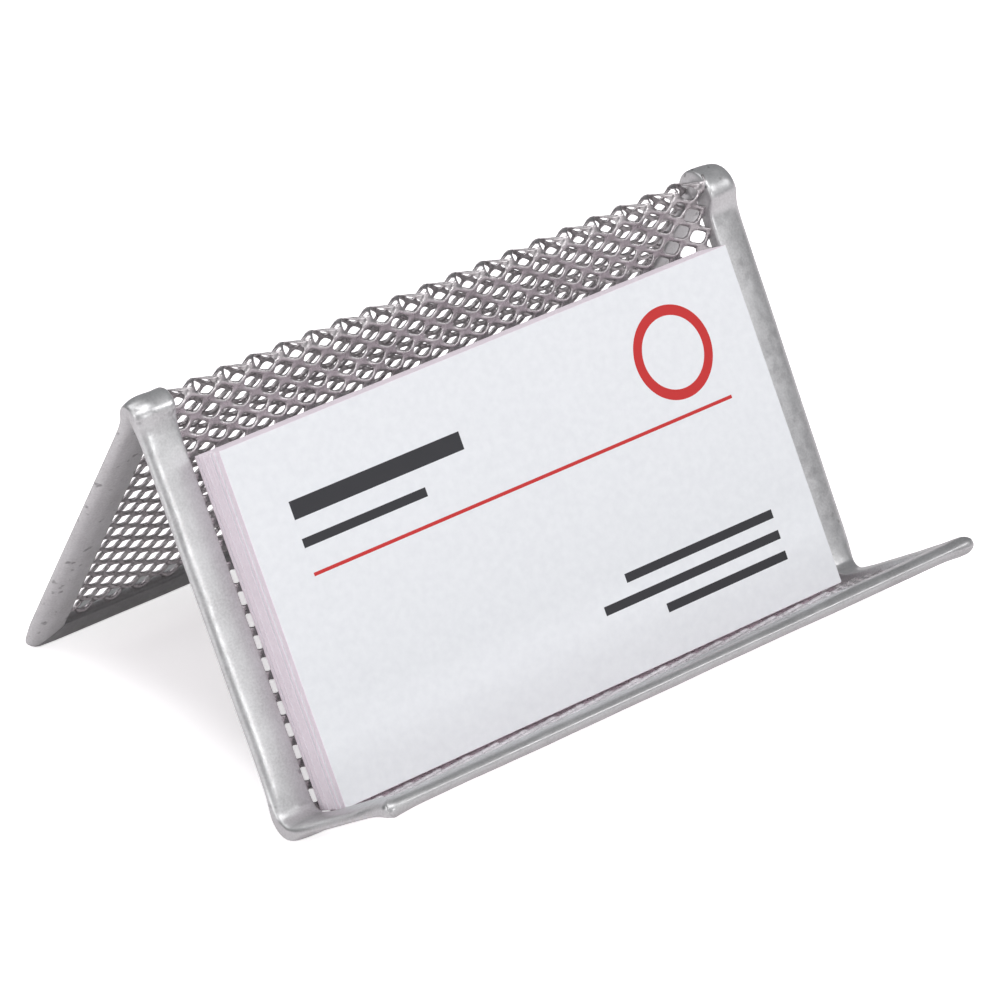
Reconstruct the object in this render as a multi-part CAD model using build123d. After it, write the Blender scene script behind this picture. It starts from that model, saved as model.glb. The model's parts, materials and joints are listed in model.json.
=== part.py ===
from build123d import *
import math
import os

# Desk stand for business cards, made of a bent sheet of expanded metal mesh
# with folded steel strips on its edges, and the stack of cards that leans in it.
# +X is to the right, the open front faces -Y, +Z is up, and the desk is Z = 0.

os.makedirs("parts", exist_ok=True)

# Driving dimensions, in millimetres and degrees

# Stand, measured on the middle plane of the mesh to the sharp corners of its bends
front_panel_length = 61.3
rear_leg_length = 61.3
tray_depth = 28.9
ridge_angle = 60.5
tray_angle = 84.7

# Folded edge strips, called rails
rail_width = 5.15
rail_thickness = 2.4
rail_fold_radius = 0.85
rail_lip_radius = 0.45
lip_corner_radius = 1.5
foot_corner_radius = 2.5
ridge_outer_radius = 2.0
ridge_inner_radius = 0.4
front_bend_outer_radius = 3.4
front_bend_inner_radius = 3.5
desk_flat = 0.1

# Metal gathered into a knob where a rail is folded over the ridge
knob_radius = 2.0
knob_drop = 0.3
knob_overhang = 0.7
knob_outer_rounding = 1.3

# Metal gathered at the outer side of the front bend
swelling_height = 1.0
swelling_length = 6.0
swelling_thickness = 1.5

# Expanded metal mesh
mesh_thickness = 1.0
mesh_long_pitch = 7.5
mesh_short_pitch = 4.7
mesh_strand_width = 1.4
mesh_edge_strand = 0.5
mesh_ridge_radius = 0.9
mesh_ridge_reach = 3.2
mesh_front_radius = 2.0
mesh_front_reach = 3.0
mesh_grip = 3.0
slot_side_clearance = 0.05
slot_end_clearance = 0.2

# Business cards
card_width = 88.9
card_height = 50.8
card_thickness = 0.32
card_spacing = 0.01
rear_card_count = 13
middle_card_count = 6
card_left_gap = 0.8
card_right_gap = 3.4
card_back_gap = 0.25
card_foot_gap = 0.1

# Sizes that follow from these

half_thickness = rail_thickness / 2
half_mesh = mesh_thickness / 2
half_clear_width = (card_width + card_left_gap + card_right_gap) / 2
half_width = half_clear_width + rail_width
half_mesh_width = half_clear_width + mesh_grip
slot_depth = mesh_grip + slot_end_clearance
slot_width = mesh_thickness + 2 * slot_side_clearance

# Limits for telling edges apart by their radius and direction
radius_tolerance = 1e-6
parallel_cosine = 0.99


def unit(angle):
    """Unit vector in the side view at an angle in degrees from +Y towards +Z."""
    return Vector(math.cos(math.radians(angle)), math.sin(math.radians(angle)))


def arc_centre(corner, angle_a, angle_b, distance):
    """Point at one distance from both lines that leave a corner at the two angles."""
    half_turn = math.radians(abs(angle_b - angle_a) / 2)
    return corner + unit((angle_a + angle_b) / 2) * (distance / math.sin(half_turn))


# Side view before it leans, with the front panel along +Y from its bottom bend
panel_angle = 0
ridge_sharp = Vector(front_panel_length, 0)
leg_angle = 180 + ridge_angle
foot_corner = (
    ridge_sharp
    + unit(leg_angle) * (rear_leg_length - rail_fold_radius)
    - unit(leg_angle + 90) * (half_thickness - rail_fold_radius)
)
bend_centre = arc_centre(Vector(0, 0), panel_angle, tray_angle, front_bend_outer_radius - half_thickness)

# The lean at which the front bend and the rear foot touch the desk together
reach = foot_corner - bend_centre
drop = front_bend_outer_radius - rail_fold_radius
down_angle = math.degrees(math.atan2(reach.Y, reach.X) - math.acos(drop / reach.length))
lean = -90 - down_angle


def leaned(point):
    """Turn a point of the side view by the lean."""
    along = unit(lean)
    out = unit(lean + 90)
    return along * point.X + out * point.Y


tray_direction = lean + tray_angle
leg_direction = lean + leg_angle
foot_reach = max(
    (leaned(ridge_sharp) + unit(leg_direction) * (rear_leg_length - rail_fold_radius)
     + unit(leg_direction + 90) * side * (half_thickness - rail_fold_radius)).X
    for side in (-1, 1)
) + rail_fold_radius
lip_reach = min(
    (unit(tray_direction) * (tray_depth - rail_fold_radius)
     + unit(tray_direction + 90) * side * (half_thickness - rail_fold_radius)).X
    for side in (-1, 1)
) - rail_fold_radius
floor = leaned(bend_centre).Y - front_bend_outer_radius + desk_flat

# Corners of the mesh's middle plane in the side view, as (Y, Z)
bend = Vector(-(foot_reach + lip_reach) / 2, -floor)
ridge = bend + unit(lean) * front_panel_length
foot = ridge + unit(leg_direction) * rear_leg_length
lip = bend + unit(tray_direction) * tray_depth


def sheet_plane(start, direction):
    """Plane across the stand whose local y runs along a direction of the side view."""
    normal = unit(direction + 90)
    return Plane(origin=(0, start.X, start.Y), x_dir=(1, 0, 0), z_dir=(0, normal.X, normal.Y))


def offset_corner(corner, direction_in, direction_out, distance):
    """Corner of a side-view line moved to its left by a distance."""
    before = unit(direction_in + 90)
    after = unit(direction_out + 90)
    return corner + (before + after) * (distance / (1 + before.dot(after)))


# Directions of travel from the rear foot over the ridge and down to the lip
up_leg = leg_direction - 180
down_front = lean + 180
out_tray = tray_direction


def strip_outline(thickness, foot_end, lip_end):
    """Sharp side-view outline of a strip on the middle plane, and its four inner corners."""
    half = thickness / 2
    ridge_in = offset_corner(ridge, up_leg, down_front, half)
    ridge_out = offset_corner(ridge, up_leg, down_front, -half)
    bend_under = offset_corner(bend, down_front, out_tray, half)
    bend_over = offset_corner(bend, down_front, out_tray, -half)
    leg_side = unit(up_leg + 90) * half
    tray_side = unit(out_tray + 90) * half
    corners = [
        foot_end + leg_side, ridge_in, bend_under, lip_end + tray_side,
        lip_end - tray_side, bend_over, ridge_out, foot_end - leg_side,
    ]
    return corners, ridge_in, ridge_out, bend_under, bend_over


def strip_face(thickness, foot_end, lip_end, radii):
    """Side-view face of a strip, with radii for the ridge's and the front bend's two sides."""
    corners, *bends = strip_outline(thickness, foot_end, lip_end)
    face = make_face(Polyline(*corners, close=True))
    for corner, radius in zip(bends, radii):
        face = fillet(face.vertices().sort_by_distance(corner)[0], radius)
    return face


def across(face, start, end):
    """Solid from a side-view face, between two places across the stand."""
    return extrude(Plane.YZ.offset(start) * face, amount=end - start)


tray_plane = sheet_plane(bend, tray_direction)
leg_plane = sheet_plane(ridge, leg_direction)
front_plane = sheet_plane(bend, lean)
desk = Pos(0, 0, -rail_width) * Box(4 * half_width, 4 * rear_leg_length, 2 * rail_width)


def mitre_side(plane, end_distance, beyond):
    """Prism on one side of the right-hand mitre in a sheet's plane: beyond it, or beside it."""
    size = 2 * rail_width
    far = size if beyond else -size
    wedge = Polyline(
        (half_width + size, end_distance + size),
        (half_width - size, end_distance - size),
        (half_width - far, end_distance + far),
        close=True,
    )
    return extrude(plane * make_face(wedge), amount=size, both=True)


def end_corner(plane, end_distance):
    """Middle of a rail's outer right-hand corner edge."""
    return plane.from_local_coords(Vector(half_width, end_distance, 0))


def corner_arcs(rail, radius):
    """Edges that round a rail's outer corner in its own plane."""
    arcs = rail.edges().filter_by(GeomType.CIRCLE)
    return [arc for arc in arcs if abs(arc.radius - radius) < radius_tolerance]


def bend_middle(corner, angle_a, angle_b, radius):
    """Middle of the arc that rounds a corner of the middle plane."""
    centre = arc_centre(corner, angle_a, angle_b, radius)
    return centre - unit((angle_a + angle_b) / 2) * radius


# Radii of the rails' bends: ridge inside and outside, front bend under and over the tray
rail_radii = (ridge_inner_radius, ridge_outer_radius, front_bend_outer_radius, front_bend_inner_radius)
swelling_inset = (rail_thickness - swelling_thickness) / 2
swelling_radii = (
    ridge_inner_radius + swelling_inset,
    ridge_outer_radius - swelling_inset,
    front_bend_outer_radius - swelling_inset,
    front_bend_inner_radius + swelling_inset,
)
slot_radii = (
    mesh_ridge_radius - slot_width / 2,
    mesh_ridge_radius + slot_width / 2,
    mesh_front_radius + slot_width / 2,
    mesh_front_radius - slot_width / 2,
)
front_bend_middle = bend_middle(bend, lean, tray_direction, mesh_front_radius)


def swelling(bend_point):
    """Low dome of gathered metal on the outer side of the right-hand rail at a bend."""
    half_length = swelling_length / 2
    dome_radius = (half_length ** 2 + swelling_height ** 2) / (2 * swelling_height)
    dome_middle = half_width + swelling_height - dome_radius
    dome = Pos(dome_middle, bend_point.X, bend_point.Y) * Sphere(dome_radius)
    band = across(
        strip_face(swelling_thickness, foot, lip, swelling_radii),
        half_width - rail_fold_radius,
        half_width + swelling_height,
    )
    return dome & band


def ridge_knob():
    """Short rounded bar across the right-hand rail, where it is folded over the ridge."""
    length = rail_width + knob_overhang
    middle = ridge + unit((down_front + leg_direction) / 2) * knob_drop
    knob = Pos(half_clear_width + length / 2, middle.X, middle.Y) * Rot(0, 90, 0) * Cylinder(knob_radius, length)
    rims = knob.edges().filter_by(GeomType.CIRCLE).sort_by(Axis.X)
    knob = fillet(rims[-1], knob_outer_rounding)
    return fillet(knob.edges().filter_by(GeomType.CIRCLE).sort_by(Axis.X)[0], rail_lip_radius)


def side_rail():
    """Right-hand rail: one strip from the rear foot over the ridge and along the tray."""
    rail = across(strip_face(rail_thickness, foot, lip, rail_radii), half_clear_width, half_width)
    ends = (
        (tray_plane, tray_depth, lip_corner_radius),
        (leg_plane, rear_leg_length, foot_corner_radius),
    )
    for plane, distance, radius in ends:
        rail = fillet(rail.edges().sort_by_distance(end_corner(plane, distance))[0], radius)
    for plane, distance, radius in ends:
        rail -= mitre_side(plane, distance, beyond=True)

    def long_edges(side):
        return [
            edge for edge in side.edges()
            if all(abs(edge.tangent_at(0.5).dot(plane.z_dir)) < parallel_cosine for plane, _, _ in ends)
        ]

    outer_side = rail.faces().filter_by(Axis.X).sort_by(Axis.X)[-1]
    arcs = corner_arcs(rail, lip_corner_radius) + corner_arcs(rail, foot_corner_radius)
    rail = fillet(long_edges(outer_side) + arcs, rail_fold_radius)
    inner_side = rail.faces().filter_by(Axis.X).sort_by(Axis.X)[0]
    rail = fillet(long_edges(inner_side), rail_lip_radius)
    slot_foot = foot - unit(leg_direction) * (rail_width - slot_depth)
    slot_lip = lip - unit(tray_direction) * (rail_width - slot_depth)
    slot = across(
        strip_face(slot_width, slot_foot, slot_lip, slot_radii),
        half_clear_width - rail_width,
        half_clear_width + slot_depth,
    )
    return rail + ridge_knob() + swelling(front_bend_middle) - slot - desk


def end_rail(plane, end_distance, corner_radius):
    """Rail across the free edge of the tray or of the rear leg, mitred at both corners."""
    middle = plane.location * Pos(0, end_distance - rail_width / 2, 0)
    rail = middle * Box(2 * half_width, rail_width, rail_thickness)
    right_corner = end_corner(plane, end_distance)
    for corner in (right_corner, Vector(-right_corner.X, right_corner.Y, right_corner.Z)):
        rail = fillet(rail.edges().sort_by_distance(corner)[0], corner_radius)
    beside = mitre_side(plane, end_distance, beyond=False)
    rail = rail - beside - mirror(beside, Plane.YZ)

    def long_edges(distance):
        side = plane.from_local_coords(Vector(0, distance, 0))
        return rail.faces().sort_by_distance(side)[0].edges().filter_by(Axis.X)

    rail = fillet(long_edges(end_distance) + corner_arcs(rail, corner_radius), rail_fold_radius)
    rail = fillet(long_edges(end_distance - rail_width), rail_lip_radius)
    slot = Box(2 * half_width, 2 * slot_depth, slot_width)
    return rail - plane.location * Pos(0, end_distance - rail_width, 0) * slot - desk


# Half sizes of one diamond opening, which leave strands of the stated width
half_long = mesh_long_pitch / 2
half_short = mesh_short_pitch / 2
strand_slant = mesh_strand_width / 2 * math.hypot(half_long, half_short)
opening_long = half_long - strand_slant / half_short
opening_short = half_short - strand_slant / half_long


def diamond(x, y, half_height):
    """Outline of one mesh opening."""
    return Wire.make_polygon(
        [(x - opening_long, y), (x, y - half_height), (x + opening_long, y), (x, y + half_height)],
        close=True,
    )


def row_middles(shifted):
    """Places of the openings in one row across the sheet, between the rails."""
    count = int((half_clear_width - opening_long) / mesh_long_pitch + 1)
    first = half_long if shifted else 0
    places = [first + mesh_long_pitch * step for step in range(-count - 1, count + 1)]
    return [place for place in places if abs(place) + opening_long < half_mesh_width - mesh_edge_strand]


def mesh_panel(plane, start, end, last_row):
    """Flat stretch of mesh, with rows of openings up to the last row."""
    outline = Wire.make_polygon(
        [
            (-half_mesh_width, start), (half_mesh_width, start),
            (half_mesh_width, end), (-half_mesh_width, end),
        ],
        close=True,
    )
    margin = opening_short + mesh_edge_strand
    rows = int((last_row - start - 2 * margin) / half_short) + 1
    first = start + (last_row - start - (rows - 1) * half_short) / 2
    openings = [
        diamond(x, first + row * half_short, opening_short)
        for row in range(rows)
        for x in row_middles(row % 2 == 1)
    ]
    sheet = extrude(Face(outline, openings), amount=half_mesh, both=True)
    return plane.location * sheet


def mesh_bend(corner, angle_a, angle_b, radius, mesh_reach):
    """Bent stretch of mesh that reaches along both panels, with one row of openings over its middle."""
    half_turn = math.radians((angle_b - angle_a) / 2)
    way_in = unit((angle_a + angle_b) / 2)
    thickness_a = unit(angle_a + 90) * half_mesh
    thickness_b = unit(angle_b - 90) * half_mesh
    end_a = corner + unit(angle_a) * mesh_reach
    end_b = corner + unit(angle_b) * mesh_reach
    inside = corner + way_in * (half_mesh / math.sin(half_turn))
    outside = corner - way_in * (half_mesh / math.sin(half_turn))
    section = make_face(Polyline(
        end_a + thickness_a, inside, end_b + thickness_b,
        end_b - thickness_b, outside, end_a - thickness_a, close=True,
    ))
    section = fillet(section.vertices().sort_by_distance(inside)[0], radius - half_mesh)
    section = fillet(section.vertices().sort_by_distance(outside)[0], radius + half_mesh)
    strip = across(section, -half_mesh_width, half_mesh_width)
    cut_plane = Plane(origin=(0, corner.X, corner.Y), x_dir=(1, 0, 0), z_dir=(0, way_in.X, way_in.Y))
    cutters = [
        extrude(cut_plane * Face(diamond(x, 0, opening_short * math.sin(half_turn))), amount=mesh_reach, both=True)
        for x in row_middles(False)
    ]
    return strip - cutters


# Cards stand square on the first thing under them: the mesh bend or the tray
card_pitch = card_thickness + card_spacing
stack_back = half_mesh + card_back_gap
card_count = rear_card_count + middle_card_count + 1
stack_front = stack_back + card_count * card_pitch
bend_inside = mesh_front_radius - half_mesh
bend_arc_centre = arc_centre(Vector(0, 0), 0, tray_angle, mesh_front_radius)
bend_offset = min(max(mesh_front_radius - stack_back, 0), bend_inside)
bend_level = bend_arc_centre.X - math.sqrt(bend_inside ** 2 - bend_offset ** 2)
tray_slope = math.radians(tray_angle)
tray_level = max(
    (half_mesh + place * math.cos(tray_slope)) / math.sin(tray_slope) for place in (stack_back, stack_front)
)
card_foot = max(bend_level, tray_level) + card_foot_gap


def cards(first, count):
    """A group of cards, numbered from the back of the stack."""
    across_middle = card_left_gap - half_clear_width + card_width / 2
    up_middle = card_foot + card_height / 2
    out_middle = stack_back + card_pitch / 2
    card = Box(card_width, card_height, card_thickness)
    return [
        front_plane.location * Pos(across_middle, up_middle, out_middle + index * card_pitch) * card
        for index in range(first, first + count)
    ]


right_side_rail = side_rail()
front_end = front_panel_length - mesh_ridge_reach
tray_end = tray_depth - rail_width
leg_end = rear_leg_length - rail_width
pieces = {
    "mesh_front_panel": mesh_panel(front_plane, mesh_front_reach, front_end, front_end),
    "mesh_ridge_bend": mesh_bend(ridge, down_front, leg_direction, mesh_ridge_radius, mesh_ridge_reach),
    "mesh_rear_panel": mesh_panel(leg_plane, mesh_ridge_reach, leg_end + mesh_grip, leg_end),
    "mesh_front_bend": mesh_bend(bend, lean, tray_direction, mesh_front_radius, mesh_front_reach),
    "mesh_tray": mesh_panel(tray_plane, mesh_front_reach, tray_end + mesh_grip, tray_end),
    "left_side_rail": mirror(right_side_rail, Plane.YZ),
    "right_side_rail": right_side_rail,
    "front_lip_rail": end_rail(tray_plane, tray_depth, lip_corner_radius),
    "rear_foot_rail": end_rail(leg_plane, rear_leg_length, foot_corner_radius),
    "rear_card_stack": Compound(children=cards(0, rear_card_count)),
    "middle_card_stack": Compound(children=cards(rear_card_count, middle_card_count)),
    "front_card": cards(card_count - 1, 1)[0],
}
for node, shape in pieces.items():
    export_step(shape, f"parts/{node}.step")

print(f"lean {lean:.3f} degrees, card foot {card_foot:.3f} mm up the front panel")
print(f"bend at Y {bend.X:.3f} Z {bend.Y:.3f}, ridge at Y {ridge.X:.3f} Z {ridge.Y:.3f}")
print(f"rear foot touches the desk at Y {bend.X + leaned(foot_corner).X:.3f}")
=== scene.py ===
import json
import math
import random

import bpy
from mathutils import Euler, Matrix, Vector, noise


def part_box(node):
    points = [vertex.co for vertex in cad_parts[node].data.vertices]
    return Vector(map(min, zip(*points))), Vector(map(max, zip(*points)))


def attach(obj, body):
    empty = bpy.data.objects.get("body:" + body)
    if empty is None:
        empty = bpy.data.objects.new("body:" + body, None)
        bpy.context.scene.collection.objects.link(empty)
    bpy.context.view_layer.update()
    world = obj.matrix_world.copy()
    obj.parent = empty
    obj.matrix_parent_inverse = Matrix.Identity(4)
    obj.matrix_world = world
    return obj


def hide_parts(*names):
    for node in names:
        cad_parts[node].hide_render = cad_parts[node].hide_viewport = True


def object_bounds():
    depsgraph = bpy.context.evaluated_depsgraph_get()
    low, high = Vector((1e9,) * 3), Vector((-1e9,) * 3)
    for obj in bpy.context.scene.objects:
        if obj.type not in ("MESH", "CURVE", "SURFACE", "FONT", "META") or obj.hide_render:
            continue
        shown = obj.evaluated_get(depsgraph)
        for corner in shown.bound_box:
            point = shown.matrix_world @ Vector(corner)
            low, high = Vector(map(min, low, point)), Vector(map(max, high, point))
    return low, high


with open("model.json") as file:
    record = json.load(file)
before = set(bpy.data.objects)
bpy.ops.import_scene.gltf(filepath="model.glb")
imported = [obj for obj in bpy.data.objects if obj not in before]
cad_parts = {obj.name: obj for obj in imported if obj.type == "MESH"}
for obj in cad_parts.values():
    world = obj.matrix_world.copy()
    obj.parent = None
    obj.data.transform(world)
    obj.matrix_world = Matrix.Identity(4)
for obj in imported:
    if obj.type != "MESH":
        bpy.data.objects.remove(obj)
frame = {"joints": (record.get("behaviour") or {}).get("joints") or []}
cad_low, cad_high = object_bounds()

bl_info = {
    "name": "Card Stand",
    "version": (1, 0, 0),
    "blender": (4, 5, 0),
    "location": "View3D > Sidebar > Card Stand",
    "description": "Builds a bent mesh stand with folded rails and a stack of cards",
    "category": "Object",
}

MM = 0.001

# Gaps at which points count as one: on a flat drawing, on a new strip, and on a cut or bent piece
SAME_PLACE = 0.01 * MM
STRIP_GAP = 0.001 * MM
FINE_GAP = 0.0001 * MM


# Settings

def in_mm(name, description, millimetres):
    """A length that a user can change."""
    return bpy.props.FloatProperty(
        name=name, description=description, default=millimetres * MM, unit="LENGTH")


def in_degrees(name, description, degrees):
    """An angle that a user can change."""
    return bpy.props.FloatProperty(
        name=name, description=description, default=math.radians(degrees), subtype="ANGLE", unit="ROTATION")


def as_share(name, description, share):
    """A share from 0 to 1 that a user can change."""
    return bpy.props.FloatProperty(
        name=name, description=description, default=share, min=0.0, max=1.0, subtype="FACTOR")


def as_colour(name, description, colour):
    """A colour that a user can change."""
    return bpy.props.FloatVectorProperty(
        name=name, description=description, default=colour, min=0.0, max=1.0, size=3, subtype="COLOR")


class SideViewSizes(bpy.types.PropertyGroup):
    """Lengths and angles of the stand seen from the side."""

    front_length: in_mm("Front panel", "Front bend to ridge, between the sharp corners of the mesh", 61.3)
    leg_length: in_mm("Rear leg", "Ridge corner to the end of the foot", 61.3)
    tray_depth: in_mm("Tray", "Front bend corner to the end of the lip", 28.9)
    ridge_angle: in_degrees("Ridge angle", "Angle between the front panel and the rear leg", 60.5)
    tray_angle: in_degrees("Tray angle", "Angle between the front panel and the tray", 84.7)


class MeshSheetSizes(bpy.types.PropertyGroup):
    """Sizes of the expanded mesh."""

    long_pitch: in_mm("Long pitch", "Knuckle to knuckle along a row", 5.0)
    short_pitch: in_mm("Short pitch", "Row to row in one column", 3.15)
    knuckle_half_length: in_mm("Knuckle half length", "Half of the flat where two strands join", 0.32)
    strand_height: in_mm("Strand height", "Height of one strand along the sheet", 0.47)
    strand_rise: in_mm("Strand rise", "How far a strand's edges stand out of the sheet's middle", 0.42)
    strand_thickness: in_mm("Strand thickness", "Painted thickness of the sheet", 0.42)
    rear_thickness: in_mm("Rear strand thickness", "Painted thickness of the sheet in the rear leg", 0.6)
    strand_edge: as_share("Strand edge", "How crisp the edges of a strand stay, from round to sharp", 0.55)
    crest_rise: in_mm("Crest rise", "How far the strands stand up along the ridge", 1.68)
    crest_climb: in_mm(
        "Crest climb", "How much higher the strands stand at the right end than in the middle", 0.28)
    crest_reach: in_mm("Crest reach", "How far from the ridge the strands settle down again", 2.6)
    # Painted light: the mesh paint in the tray is made lighter, standing in for light that reaches it
    tray_painted_light: as_share("Tray light", "How much lighter the paint of the mesh is in the tray", 0.6)
    cad_thickness: in_mm("Panel thickness", "Thickness of the plain mesh panels in the frame", 1.0)
    grip: in_mm("Grip", "How far the sheet goes into the rails", 0.9)
    ridge_radius: in_mm("Ridge radius", "Middle radius of the ridge bend", 0.25)
    front_radius: in_mm("Front radius", "Middle radius of the front bend", 2.0)
    front_reach: in_mm("Front reach", "Front bend corner to the foot of the front panel's node", 3.0)
    slip_across: in_mm("Slip across", "Shift of the pattern along the ridge", -0.75)
    slip_along: in_mm("Slip along", "Shift of the pattern from the foot to the lip", 0.87)


class RailSizes(bpy.types.PropertyGroup):
    """Sizes of the folded strips."""

    width: in_mm("Width", "Width of the folded strip", 5.15)
    thickness: in_mm("Thickness", "Thickness of the folded strip", 2.4)
    half_width: in_mm("Half width", "Middle of the stand to the outside of a side rail", 51.7)
    fold_radius: in_mm("Fold radius", "Rounding of the folded outer edge", 1.15)
    lip_radius: in_mm("Lip radius", "Rounding of the edges that grip the mesh", 0.45)
    nose_drop: as_share("Nose drop", "How much thinner a side rail is at its folded edge", 0.42)
    nose_reach: in_mm("Nose reach", "How far from its folded edge a side rail is thinner", 3.4)
    nose_push: in_mm("Nose push", "How far the folded edge is squeezed outwards", 0.75)
    lip_crown: as_share("Lip crown", "How much thinner the lip is at its edges than in its middle", 0.38)
    lip_corner: in_mm("Lip corner", "Rounding of the outer corners at the lip", 1.5)
    foot_corner: in_mm("Foot corner", "Rounding of the outer corners at the foot", 2.5)
    ridge_radius: in_mm("Ridge radius", "Middle radius of a side rail over the ridge", 0.7)
    knob_rise: in_mm("Knob rise", "How far a side rail bunches up over the ridge", 0.85)
    right_knob_extra: in_mm(
        "Right knob", "How much more the right rail swells and is squeezed at the ridge", -0.55)
    right_ridge_radius: in_mm("Right ridge radius", "Middle radius of the right rail over the ridge", 1.6)
    right_knob_rise: in_mm("Right knob rise", "How far the right rail bunches up over the ridge", 2.28)
    knob_reach: in_mm("Knob reach", "How far along the rail the bunching fades out", 2.6)
    front_radius: in_mm("Front radius", "Middle radius of a side rail in the front bend", 3.0)
    crimp: in_mm("Crimp", "How far the inner edge of a side rail is squeezed out at the ridge", 0.35)
    knob_swelling: in_mm("Knob swelling", "How far a side rail swells out sideways at the ridge", 0.35)
    knob_dents: in_mm("Knob dents", "How deep the dents round the ridge are", 0.25)
    swelling: in_mm("Swelling", "How far a side rail swells out sideways at the front bend", 1.05)
    right_swelling: in_mm("Right swelling", "The same on the right, drawn in where it is negative", -0.7)
    right_taper: in_mm(
        "Right taper", "How much the right rail narrows from the ridge to the front bend", 0.55)
    swelling_reach: in_mm("Swelling reach", "How far along the rail a swelling fades out", 3.4)
    tray_thinning: in_mm("Tray thinning", "How far a side rail is pressed flat under the tray", 0.55)
    crook_filling: in_mm("Crook filling", "How far the strip bunches up inside the front bend", 0.5)
    corner_spread: in_mm("Corner spread", "How far the corners of the lip swell out sideways", 0.7)
    corner_bulge: in_mm("Corner bulge", "How far the underside bulges at the corners of the lip", 0.35)
    unevenness: in_mm("Unevenness", "Hand-formed unevenness of the strips", 0.06)
    bend_wear: as_share("Bend wear", "How worn the paint is by the front bend, next to the leg", 0.7)
    # Painted shade: the next four settings darken the paint where shade falls, on the inner side of the leg
    # and the foot, round the tray and under the lip
    leg_painted_shade: as_share("Leg shade", "How much darker the paint is on the inner side of the leg", 0.16)
    foot_painted_shade: as_share("Foot shade", "How much darker the paint is on the inner side of the foot", 0.6)
    tray_painted_shade: as_share("Tray shade", "How much darker the paint is round the tray", 0.14)
    lip_painted_shade: as_share("Lip shade", "How much darker the paint is under the lip", 0.3)


class CardSizes(bpy.types.PropertyGroup):
    """Sizes of the cards and of their stack."""

    thickness: in_mm("Thickness", "Thickness of one card", 0.32)
    spacing: in_mm("Spacing", "Air between two cards", 0.01)
    rear_count: bpy.props.IntProperty(
        name="Rear cards", description="Cards in the rear group", default=13)
    middle_count: bpy.props.IntProperty(
        name="Middle cards", description="Cards in the group behind the front card", default=6)
    edge_round: in_mm("Edge rounding", "Softened edge of a card", 0.05)
    sideways: in_mm("Sideways", "How unevenly the cards are pushed together", 0.12)


class FinishColours(bpy.types.PropertyGroup):
    """Colours of the paint, the cards and their plain print."""

    rail_light: as_colour(
        "Rail paint, light", "Lighter tone of the silver paint on the rails", (0.60, 0.60, 0.605))
    rail_dark: as_colour(
        "Rail paint, dark", "Darker tone of the silver paint on the rails", (0.50, 0.495, 0.50))
    mesh_light: as_colour(
        "Mesh paint, light", "Lighter tone of the silver paint on the mesh", (0.55, 0.52, 0.53))
    mesh_dark: as_colour(
        "Mesh paint, dark", "Darker tone of the silver paint on the mesh", (0.335, 0.312, 0.32))
    card_face: as_colour("Card face", "Coated white card", (0.80, 0.815, 0.84))
    card_edge: as_colour("Card edge", "Cut edge of the cards", (0.90, 0.81, 0.875))
    print_dark: as_colour("Dark print", "Dark bars on the front card", (0.035, 0.035, 0.04))
    print_red: as_colour("Red print", "Red rule and ring on the front card", (0.55, 0.03, 0.03))


class StageSettings(bpy.types.PropertyGroup):
    """Camera and floor of the picture."""

    camera_place: bpy.props.FloatVectorProperty(
        name="Camera", description="Where the camera stands",
        size=3, subtype="TRANSLATION", unit="LENGTH", default=(-0.41510, -0.52513, 0.42378))
    camera_turn: in_degrees("Turn", "Camera's heading, clockwise from straight back", 38.407)
    camera_drop: in_degrees("Drop", "How far the camera looks down", 30.846)
    camera_roll: in_degrees("Roll", "How far the camera leans to its right", 1.047)
    lens: bpy.props.FloatProperty(
        name="Lens", description="Focal length in millimetres on a 36 mm sensor", default=201.6)
    floor_size: in_mm("Floor", "Side of the square floor", 8000.0)
    floor_white: as_share("Floor white", "How far the floor is lifted to white in the picture", 0.75)
    # Painted shadow: the floor is lifted to white less in a box under the stand, so it is darker there,
    # with its real shadow showing through
    floor_painted_shadow: as_share("Floor shade", "How much less the floor is lifted to white under the stand", 0.4)
    floor_mirrored: as_share(
        "Floor mirrored", "How far the floor is lifted to white in the paint's gloss", 0.12)


SETTINGS = {
    "side_view": SideViewSizes,
    "mesh_sheet": MeshSheetSizes,
    "rails": RailSizes,
    "cards": CardSizes,
    "finish": FinishColours,
    "stage": StageSettings,
}


def settings(group):
    """One group of settings of the scene."""
    return getattr(bpy.context.scene, "card_stand_" + group)


# Side view of the bent sheet

def heading(angle):
    """A direction in the side view, turned from the back towards up."""
    return Vector((math.cos(angle), math.sin(angle)))


def front_lean():
    """Angle of the front panel, which the cards slide along."""
    for joint in frame["joints"]:
        if joint["child"] == "front_card":
            return math.atan2(joint["axis"][2], joint["axis"][1])
    raise RuntimeError("no joint lifts the front card")


def front_corner():
    """Sharp corner of the front bend, worked out from the front panel's box."""
    sheet = settings("mesh_sheet")
    lean = front_lean()
    low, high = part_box("mesh_front_panel")
    half = sheet.cad_thickness / 2
    foot = Vector((low.y + half * math.sin(lean), low.z + half * math.cos(lean)))
    return foot - sheet.front_reach * heading(lean)


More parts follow.
